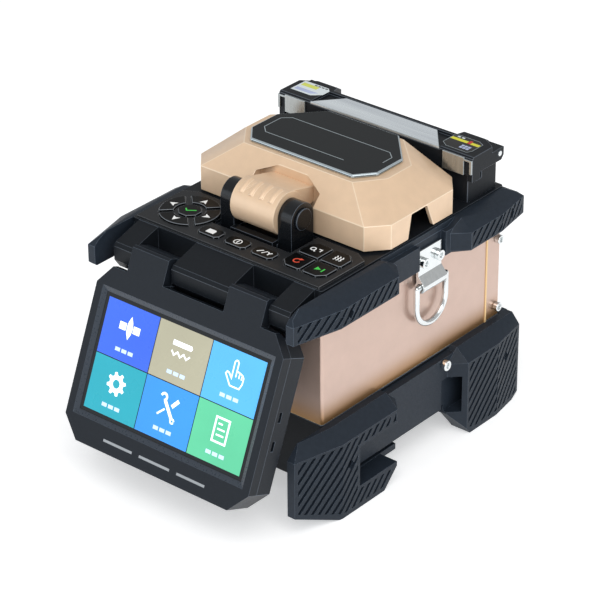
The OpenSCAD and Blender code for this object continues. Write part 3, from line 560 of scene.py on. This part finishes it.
def bumper_cutters(side, level):
    """The grooves and sockets in one bumper's outer faces. side is 1 right, -1 left."""
    node = f"{level}_bumper_" + ("right" if side > 0 else "left")
    low, high = (Vector(c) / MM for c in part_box(node))
    outer = max(abs(low.x), abs(high.x))
    horn = (HORN_X * side, low.y)
    flare = (outer * side, FLARE_Y)
    taper = (outer * side, TAPER_Y)
    tail = (TAIL_X * side, high.y)
    forward = (0.0, 1.0)
    flare_dir, taper_dir = unit(horn, flare), unit(taper, tail)
    flare_len = (Vector(flare) - Vector(horn)).length
    taper_len = (Vector(tail) - Vector(taper)).length
    cutters = []

    def grooves(tag, field, corner, direction):
        cutters.append(groove_cutter(f"{node}_{tag}", field, corner, direction, side))

    def socket(tag, corner, direction, u, z):
        cutters.append(diamond_cutter(f"{node}_{tag}", corner, direction, side, u, z))

    front_end, rear_start, rear_end = LOBE_END - FLARE_Y, LOBE_START - FLARE_Y, TAPER_Y - FLARE_Y
    rear_past = rear_end + CORNER_OVERLAP
    if level == "upper":
        z0, z1 = 114.4, 123.6
        grooves("flare", rectangle(-flare_len + 2.5, CORNER_OVERLAP, z0, z1), flare, flare_dir)
        grooves("front", rectangle(0, front_end - 1.2, z0, z1), flare, forward)
        grooves("rear", rectangle(rear_start + 1.5, rear_past, z0, z1), flare, forward)
        grooves("tail", rectangle(0, taper_len - 2, z0, z1), taper, taper_dir)
        socket("socket_front", flare, forward, 6.4, 119.2)
        socket("socket_rear", taper, taper_dir, 11.5, 119.2)
    else:
        foot, top = 2.6, 43.8
        notch_start, notch_end = -34.6 - FLARE_Y, -3.2 - FLARE_Y
        toe_low, toe_high, arm_low = (-12.5 - FLARE_Y, foot), (-4.6 - FLARE_Y, 10.4), 38.6
        grooves("flare", [(-flare_len + 2.2, 13.6), (CORNER_OVERLAP, foot), (CORNER_OVERLAP, top),
                          (-flare_len + 2.2, top)], flare, flare_dir)
        grooves("front", rectangle(0, notch_start, foot, top), flare, forward)
        grooves("arm", rectangle(notch_start - 0.1, notch_end - 4.5, arm_low, top), flare, forward)
        grooves("toe", [(notch_start - 0.1, foot), toe_low, toe_high, (notch_start - 0.1, 11.6)],
                flare, forward)
        grooves("rear", [(rear_start + 1.5, 4.5), (rear_start + 5.5, foot), (rear_past, foot),
                         (rear_past, top), (rear_start + 1.5, top)], flare, forward)
        grooves("tail", rectangle(0, taper_len - 2, foot, top), taper, taper_dir)
        socket("socket_front", flare, forward, 7.1, 29.5)
        socket("socket_rear", taper, taper_dir, 9.4, 32.5)
        cutters.append(socket_cutter(f"{node}_socket_arm", flare, forward, side, [
            (notch_end - 2.6, arm_low), (notch_end + 0.2, arm_low), (notch_end + 0.2, top)]))
    return cutters


DRESS.update({f"{level}_bumper_{side}": (RUBBER, RUBBER_HIGHLIGHT, 0.25)
              for level in ("upper", "lower") for side in ("right", "left")})
for side, word in ((1, "right"), (-1, "left")):
    for level in ("upper", "lower"):
        dress(f"{level}_bumper_{word}", bumper_cutters(side, level))

# From (x, z, y) to the shared frame, for what faces the rear
REAR = Matrix(((1, 0, 0, 0), (0, 0, 1, 0), (0, 1, 0, 0), (0, 0, 0, 1)))
VENT_COUNT, VENT_PITCH = 24, 3.4
VENT_X0, VENT_X1 = -41, -39.4
VENT_LOW, VENT_HIGH = 66.5, 74.5
VENT_FLOOR, VENT_PAST = 103.8, 108.0
vents = [prisms(f"vent_{n}", [rectangle(VENT_X0 + VENT_PITCH * n, VENT_X1 + VENT_PITCH * n,
                                        VENT_LOW, VENT_HIGH)],
                REAR, VENT_FLOOR, VENT_PAST, DARK, None) for n in range(VENT_COUNT)]
dress("port_panel", vents)
for node in DRESS:
    if "_bumper_" not in node and node != "port_panel":
        dress(node)
for node, finish in PLAIN.items():
    mesh = NODES[node].data
    for slot in range(len(mesh.materials)):
        mesh.materials[slot] = finish
    if not mesh.materials:
        mesh.materials.append(finish)


# ---------------------------------------------------------------- screen

SCREEN_LEAN = 22.6
GLASS_HALF = 0.4
screen_tilt = Matrix.Rotation(radians(90 - SCREEN_LEAN), 4, "X")
glass_face = middle("screen_glass") * MM + (screen_tilt @ Vector((0, 0, GLASS_HALF * MM)))
SCREEN = Matrix.Translation(glass_face) @ screen_tilt
SCREEN_W, SCREEN_H = 108.0, 60.7


def lit(name, code, strength=0.7):
    """A finish of the screen's picture, which glows."""
    return finish_material(name, linear(code), 0.3, specular=0.3, mottle=0.05, mottle_scale=25,
                           glow=strength)


ICON = lit("icon_white", "EEF3FB", 0.8)
LABEL = lit("icon_label", "B9CDEB", 0.6)
TILES = [[lit("tile_blue", "3159C6"), lit("tile_khaki", "96937F"), lit("tile_sky", "4A9CD8")],
         [lit("tile_teal", "1F8E9E"), lit("tile_azure", "2F80CE"), lit("tile_green", "50AC84")]]
tile_w, tile_h = SCREEN_W / 3, SCREEN_H / 2


def hand_shape():
    """A pointing hand."""
    outline = [(-1.7, -2.8), (-1.7, 6.2), (-0.9, 7.2), (0.1, 7.2), (0.9, 6.2), (0.9, 1.8),
               (3.3, 1.3), (5.4, 0.5), (6.2, -0.6), (6.2, -3.8), (4.8, -7.0), (-1.6, -7.0),
               (-3.6, -4.6), (-6.0, -1.4), (-5.2, -0.2), (-4.0, -0.4)]
    lines = [[(0.9, 1.2), (0.9, -1.6)], [(3.1, 0.7), (3.1, -1.8)], [(4.9, 0.0), (4.9, -2.0)]]
    return ribbon(outline, 0.8, True) + [q for p in lines for q in ribbon(p, 0.7)]


def gear_shape():
    """A toothed wheel."""
    teeth, quads = 8, []
    rim = []
    for i in range(teeth):
        for share, r in ((0.05, 5.0), (0.2, 6.7), (0.5, 6.7), (0.65, 5.0)):
            t = 2 * pi * (i + share) / teeth
            rim.append((r * cos(t), r * sin(t)))
    for i, p in enumerate(rim):
        q = rim[(i + 1) % len(rim)]
        inner = [(2.5 * cos(t), 2.5 * sin(t)) for t in (atan2(q[1], q[0]), atan2(p[1], p[0]))]
        quads.append([p, q, inner[0], inner[1]])
    return quads


def tools_shape():
    """A spanner crossed with a screwdriver."""
    wrench = ribbon([(-2.6, 2.9), (4.2, -5.6)], 2.0)
    jaw = ribbon(arc(-3.9, 4.7, 1.9, -80, 170, 12), 1.3)
    eye = ribbon(arc(4.9, -6.4, 1.2, 0, 330, 10), 0.9)
    driver = ribbon([(6.4, 5.4), (2.6, 1.0)], 2.1) + ribbon([(-1.8, -1.6), (-6.2, -5.6)], 1.0)
    return wrench + jaw + eye + driver


def sheet_shape():
    """A page with three lines."""
    frame_line = ribbon([(-4.6, -6.6), (4.6, -6.6), (4.6, 6.6), (-4.6, 6.6)], 1.1, True)
    rows = [rectangle(-2.6, 0.4, 3.0, 3.9), rectangle(-2.6, 2.6, 0.0, 0.9),
            rectangle(-2.6, 2.6, -3.2, -2.3)]
    return frame_line + rows


SPLICE_SHAPE = [[(0, 6.6), (-1.6, 3.2), (-2.1, 0), (-1.6, -3.2), (0, -6.6), (1.6, -3.2), (2.1, 0),
                 (1.6, 3.2)], rectangle(-7.4, -2.6, -2.1, 2.1), rectangle(2.6, 7.4, -2.1, 2.1)]
SLEEVE_SHAPE = ([[(-6.8, 1.6), (6.2, 1.6), (7.2, 3.0), (6.2, 4.4), (-6.8, 4.4)]]
                + ribbon([(-6.6, -1.6), (-4.6, -3.8), (-2.4, -1.6), (-0.2, -3.8), (2.0, -1.6),
                          (4.2, -3.8), (6.4, -1.6)], 0.9))
ICONS = [[SPLICE_SHAPE, SLEEVE_SHAPE, hand_shape()], [gear_shape(), tools_shape(), sheet_shape()]]
TILE_GAP = 0.25
TILE_LIFT, ICON_LIFT = 0.05, 0.12
ICON_SIZE, ICON_RISE = 0.95, 3.0
CAPTION_X0, CAPTION_X1, CAPTION_PITCH = -6.3, -2.9, 4.4
CAPTION_LOW, CAPTION_HIGH = -10.6, -8.6
for row in (0, 1):
    for column in (0, 1, 2):
        tile_x = (column - 1) * tile_w
        tile_y = (0.5 - row) * tile_h
        tag = f"{row}{column}"
        prisms("tile_" + tag,
               [rectangle(tile_x - tile_w / 2 + TILE_GAP, tile_x + tile_w / 2 - TILE_GAP,
                          tile_y - tile_h / 2 + TILE_GAP, tile_y + tile_h / 2 - TILE_GAP)],
               SCREEN, 0.0, TILE_LIFT, TILES[row][column], "display")
        prisms("icon_" + tag, placed(ICONS[row][column], tile_x, tile_y + ICON_RISE, ICON_SIZE),
               SCREEN, TILE_LIFT, ICON_LIFT, ICON, "display", step=0.002)
        prisms("label_" + tag,
               [rectangle(tile_x + CAPTION_X0 + CAPTION_PITCH * i,
                          tile_x + CAPTION_X1 + CAPTION_PITCH * i,
                          tile_y + CAPTION_LOW, tile_y + CAPTION_HIGH) for i in range(3)],
               SCREEN, TILE_LIFT, ICON_LIFT, LABEL, "display")


def frame_ring(name, inner, outer, z_inner, z_outer, base, material):
    """A sloped four-sided frame round the screen."""
    bm = bmesh.new()
    loops = []
    for margin, z in ((inner, base), (inner, z_inner), (outer, z_outer), (outer, base)):
        x, y = SCREEN_W / 2 + margin, SCREEN_H / 2 + margin
        loops.append([bm.verts.new(SCREEN @ (Vector((sx * x, sy * y, z)) * MM))
                      for sx, sy in ((-1, -1), (1, -1), (1, 1), (-1, 1))])
    for i in range(4):
        a, b = loops[i], loops[(i + 1) % 4]
        for j in range(4):
            k = (j + 1) % 4
            bm.faces.new((a[j], a[k], b[k], b[j]))
    bmesh.ops.recalc_face_normals(bm, faces=bm.faces)
    mesh = bpy.data.meshes.new(name)
    bm.to_mesh(mesh)
    bm.free()
    piece = linked(name, mesh, [material])
    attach(piece, "display")


frame_ring("screen_chamfer", 1.9, 4.55, 0.15, 1.45, 0.02, DISPLAY_BEVEL)
prisms("bezel_marks", [rectangle(-34.5, -14.5, -0.7, 0.7), rectangle(-9.5, 11.5, -0.7, 0.7),
                       rectangle(16.5, 35.5, -0.7, 0.7)],
       SCREEN @ at(0, -42.2, 0), 1.4, 1.55, finish_material(
           "print_grey", linear("9CA1A6"), 0.5, mottle=0.05), "display", radius=0.05)


# ---------------------------------------------------------------- keys

# The prints glow a little: painted light that brightens the ink beyond what the lamps give.
PRINT_WHITE = finish_material("print_white", linear("F2F4F4"), 0.45, mottle=0.04, glow=0.12)
PRINT_GREEN = finish_material("print_green", linear("3FC84A"), 0.45, mottle=0.04, glow=0.15)
PRINT_RED = finish_material("print_red", linear("E0523A"), 0.45, mottle=0.04, glow=0.15)

ARROW = [[(0, 2.3), (-2.1, -1.9), (0, -0.9), (2.1, -1.9)]]
LEGENDS = {
    "key_ok": (ribbon([(-3.0, 0.3), (-1.0, -1.5), (3.2, 1.6)], 0.75), PRINT_GREEN),
    "key_left": (placed(ARROW, turn=90), PRINT_WHITE),
    "key_right": (placed(ARROW, turn=-90), PRINT_WHITE),
    "key_back": (ARROW, PRINT_WHITE),
    "key_front": (placed(ARROW, turn=180), PRINT_WHITE),
    "key_sheet": ([[(-2.6, -1.9), (2.6, -1.9), (2.6, 1.0), (1.7, 1.9), (-2.6, 1.9)]], PRINT_WHITE),
    "key_info": (ribbon(circle(0, 0, 2.2, 20), 0.5, True) + [rectangle(-0.35, 0.35, -1.3, 0.5),
                                                             rectangle(-0.35, 0.35, 0.8, 1.4)],
                 PRINT_WHITE),
    "key_view": (ribbon([(-4.2, -1.4), (-1.6, 1.4)], 0.75) + ribbon([(-0.9, -1.6), (0.9, 1.6)], 0.6)
                 + ribbon([(1.6, 1.4), (2.9, 0), (4.2, 1.4)], 0.75)
                 + ribbon([(2.9, -0.3), (2.9, -1.6)], 0.75), PRINT_WHITE),
    "key_zoom": (ribbon(circle(-1.6, 0.2, 1.4, 16), 0.6, True)
                 + ribbon([(-0.4, -0.9), (0.6, -1.8)], 0.7)
                 + ribbon([(1.2, 1.6), (3.2, 1.6), (3.2, -0.6)], 0.6), PRINT_WHITE),
    "key_reset": (ribbon(arc(0, 0, 1.9, 60, 350, 14), 0.7) + [[(0.6, 0.9), (2.6, 2.6), (0.2, 2.9)]],
                  PRINT_RED),
    "key_heat": ([q for x in (-1.8, 0.0, 1.8)
                  for q in ribbon([(x, -2.2), (x + 0.7, -1.1), (x, 0.0), (x + 0.7, 1.1), (x, 2.2)],
                                  0.6)], PRINT_WHITE),
    "key_start": ([[(-2.4, -1.7), (0.8, 0.0), (-2.4, 1.7)], rectangle(1.7, 2.5, -1.7, 1.7)],
                  PRINT_GREEN),
}
PRINT_HEIGHT = 0.06
PRINT_SINK = 0.02
for node, (shapes, ink) in LEGENDS.items():
    spot = middle(node)
    prisms(node + "_legend", shapes, at(spot.x, spot.y, top_of(node)), -PRINT_SINK, PRINT_HEIGHT,
           ink, body_name(node), step=0.002)


# ---------------------------------------------------------------- wind cover

plate_top = top_of("cover_top_plate")
INLAY = [(20.0, 22.6), (-33.0, 22.6), (-37.6, 27.0), (-37.6, 40.5), (-33.0, 44.6), (33.0, 44.6),
         (37.6, 40.5), (37.6, 33.0)]
prisms("cover_inlay", ribbon(INLAY, 0.42), at(0, 0, plate_top), -PRINT_SINK, 0.05, SILVER,
       "wind_cover")


# ---------------------------------------------------------------- casing and rear ports

# Strips mark the casing seams; their pale glowing colour is a painted highlight on the seam.
SEAM_Y, SEAM_HALF = 89.9, 0.55
SEAM_INNER, SEAM_OUTER = 63.7, 64.4
SEAM_LOW, SEAM_HIGH = 52.3, 111.8
for side in (1, -1):
    strip = [(x * side, y) for x, y in rectangle(SEAM_INNER, SEAM_OUTER, SEAM_Y - SEAM_HALF,
                                                 SEAM_Y + SEAM_HALF)]
    prisms("seam_strip_" + ("right" if side > 0 else "left"), [strip], at(0, 0, 0), SEAM_LOW,
           SEAM_HIGH, SEAM_HIGHLIGHT_METAL, body_name("casing_wrap"))

JACK, USB, LAN = (-30.0, 86.0), (-8.0, 86.0), (20.0, 85.0)
port_body = body_name("port_panel")
SLEEVE_END = 105.2
prisms("jack_sleeve", ribbon(circle(*JACK, 2.6, 32), 0.4, True), REAR, 95.0, SLEEVE_END, SILVER,
       port_body)
prisms("jack_pin", [circle(*JACK, 0.85, 20)], REAR, 93.0, 103.6, PIN, port_body, radius=0.2)
for name, (x, z), wide, tall in (("usb_sleeve", USB, 6.3, 2.6), ("network_sleeve", LAN, 7.7, 6.3)):
    prisms(name, ribbon(rectangle(x - wide, x + wide, z - tall, z + tall), 0.45, True), REAR, 94.0,
           SLEEVE_END, SILVER, port_body)
prisms("usb_tongue", [rectangle(USB[0] - 5, USB[0] + 5, 86.2, 87.6)], REAR, 93.0, 103.4,
       LABEL_TONGUE, port_body, radius=0.15)
prisms("usb_contacts", [rectangle(x - 0.5, x + 0.5, 86.0, 86.25) for x in (-11.4, -9.1, -6.9, -4.6)],
       REAR, 94.5, 103.0, CONTACT, port_body)
prisms("network_contacts", [rectangle(LAN[0] - 3.7 + n, LAN[0] - 3.3 + n, 88.8, 89.2)
                            for n in range(8)], REAR, 95.0, 102.5, CONTACT, port_body)
prisms("network_latch", [rectangle(LAN[0] - 7.3, LAN[0] - 3.2, 79.1, 81.4),
                         rectangle(LAN[0] + 3.2, LAN[0] + 7.3, 79.1, 81.4)], REAR, 95.0, 104.6,
       BLACK_PLASTIC, port_body)
prisms("port_marks", placed([rectangle(-1.6, 1.6, -0.35, 0.35), rectangle(-0.35, 0.35, 0.4, 1.6)],
                            -30, 91.6)
       + placed([rectangle(-1.9, 1.9, -0.35, 0.35), rectangle(-1.9, -1.2, 0.35, 1.5),
                 rectangle(1.2, 1.9, 0.35, 1.5)], -8, 91.4)
       + placed([rectangle(-1.1, 1.1, 0.3, 1.5), rectangle(-2.0, -0.6, -1.3, -0.4),
                 rectangle(0.6, 2.0, -1.3, -0.4)], 20, 94.2), REAR, 105.45, 105.55, PRINT_WHITE,
       port_body, step=0.002)


# ---------------------------------------------------------------- heater labels

heater_top = top_of("heater_lid")
LABEL_WHITE = finish_material("label_white", linear("E4EEF2"), 0.4, mottle=0.03)
LABEL_BLACK = finish_material("label_black", linear("141414"), 0.4, mottle=0.05)
LABEL_YELLOW = finish_material("label_yellow", linear("E6E23C"), 0.45, mottle=0.05)
LABEL_RED = finish_material("label_red", linear("D23A2E"), 0.45, mottle=0.05)
LABEL_BLUE = finish_material("label_blue", linear("B9C4E6"), 0.45, mottle=0.05)
LABEL_LIME = finish_material("label_lime", linear("DDE46A"), 0.45, mottle=0.05)
label_place = at(0, 0, heater_top)
STICKER_TOP = 0.12
INK_LOW, INK_TOP = 0.1, 0.16


def label_print(name, outlines, material):
    """Ink on a sticker of the heater lid."""
    prisms(name, outlines, label_place, INK_LOW, INK_TOP, material, "heater_cover", step=0.002)


prisms("heater_label_left", [[(-62.5, 78.0), (-48.5, 78.0), (-43.4, 82.5), (-43.4, 88.2),
                              (-46.0, 90.8), (-62.5, 90.8)]], label_place, -PRINT_SINK, STICKER_TOP,
       LABEL_WHITE, "heater_cover", radius=0.03)
label_print("heater_label_left_band", [rectangle(-61.3, -50.5, 85.2, 88.6)], LABEL_LIME)
label_print("heater_label_left_foot", [[(-61.3, 79.4), (-50.0, 79.4), (-46.5, 82.4),
                                        (-61.3, 82.4)]], LABEL_BLUE)
label_print("heater_label_left_marks", [rectangle(-54.5 + 2.4 * i, -52.8 + 2.4 * i, 88.9, 89.9)
                                        for i in range(4)], LABEL_BLACK)
RIGHT_LABEL = [(42.0, 78.5), (46.0, 75.6), (59.5, 75.6), (61.0, 78.5), (61.0, 88.0), (57.5, 89.8),
               (44.0, 89.8), (42.0, 88.0)]
prisms("heater_label_right", [RIGHT_LABEL], label_place, -PRINT_SINK, STICKER_TOP, LABEL_BLACK,
       "heater_cover", radius=0.03)
label_print("heater_label_right_line", ribbon(RIGHT_LABEL, 0.25, True), SILVER)
label_print("heater_label_right_bar", [rectangle(42.3, 53.0, 84.2, 86.6),
                                       rectangle(55.2, 60.6, 84.2, 86.6)], LABEL_YELLOW)
label_print("heater_label_right_red", [rectangle(53.2, 55.0, 84.2, 87.8)], LABEL_RED)
label_print("heater_label_right_marks", [rectangle(44.4, 46.2, 87.6, 88.8),
                                         rectangle(47.2, 49.0, 87.6, 88.8)], LABEL_WHITE)
label_print("heater_label_right_block", [rectangle(52.4 + 2.1 * i, 54.1 + 2.1 * i, z, z + 1.7)
                                         for i in range(3) for z in (78.0, 80.1)], LABEL_BLUE)


# ---------------------------------------------------------------- room, lights and camera

FLOOR_SIZE = 40.0
WORLD_STRENGTH = 0.5
floor_mat = finish_material("floor_pale", linear("F4F5F6"), 0.7, mottle=0.01, rough_spread=0.02,
                            glow=0.5)
bpy.ops.mesh.primitive_plane_add(size=FLOOR_SIZE, location=(0, 0, 0))
floor = bpy.context.object
floor.name = "floor"
floor.data.materials.append(floor_mat)

world = bpy.data.worlds.new("studio")
world.use_nodes = True
world.node_tree.nodes["Background"].inputs["Color"].default_value = (1.0, 1.0, 1.0, 1.0)
world.node_tree.nodes["Background"].inputs["Strength"].default_value = WORLD_STRENGTH
bpy.context.scene.world = world


def softbox(name, place, target, size, power, colour=(1.0, 1.0, 1.0)):
    """A soft rectangular light that faces its target."""
    data = bpy.data.lights.new(name, "AREA")
    data.shape = "RECTANGLE"
    data.size, data.size_y = size
    data.energy = power
    data.color = colour
    light = bpy.data.objects.new(name, data)
    bpy.context.scene.collection.objects.link(light)
    light.location = place
    light.rotation_euler = (Vector(target) - Vector(place)).to_track_quat("-Z", "Y").to_euler()


softbox("key_light", (0.9, -1.0, 1.7), (0, 0, 0.1), (1.7, 1.4), 20, (1.0, 0.98, 0.96))
softbox("front_light", (-1.1, -1.9, 0.6), (0, 0, 0.08), (1.8, 1.0), 7, (0.82, 0.91, 1.0))
softbox("side_light", (2.2, -0.3, 0.9), (0.05, 0, 0.08), (1.2, 1.2), 5)

FOCAL_LENGTH, SENSOR_WIDTH = 170.6, 36.0
CAMERA_AT = (0.85082, -0.99909, 0.81629)
AZIMUTH, ELEVATION, ROLL = radians(40.118), radians(29.229), radians(-0.361)
back = Vector((sin(AZIMUTH) * cos(ELEVATION), -cos(AZIMUTH) * cos(ELEVATION), sin(ELEVATION)))
level_right = (-back).cross(Vector((0, 0, 1))).normalized()
level_up = level_right.cross(-back)
right = level_right * cos(ROLL) + level_up * sin(ROLL)
up = level_up * cos(ROLL) - level_right * sin(ROLL)
lens = bpy.data.cameras.new("camera")
lens.lens = FOCAL_LENGTH
lens.sensor_width = SENSOR_WIDTH
camera = bpy.data.objects.new("camera", lens)
bpy.context.scene.collection.objects.link(camera)
camera.matrix_world = Matrix((
    (right.x, up.x, back.x, CAMERA_AT[0]), (right.y, up.y, back.y, CAMERA_AT[1]),
    (right.z, up.z, back.z, CAMERA_AT[2]), (0, 0, 0, 1)))
bpy.context.scene.camera = camera
bpy.context.scene.view_settings.view_transform = "Standard"
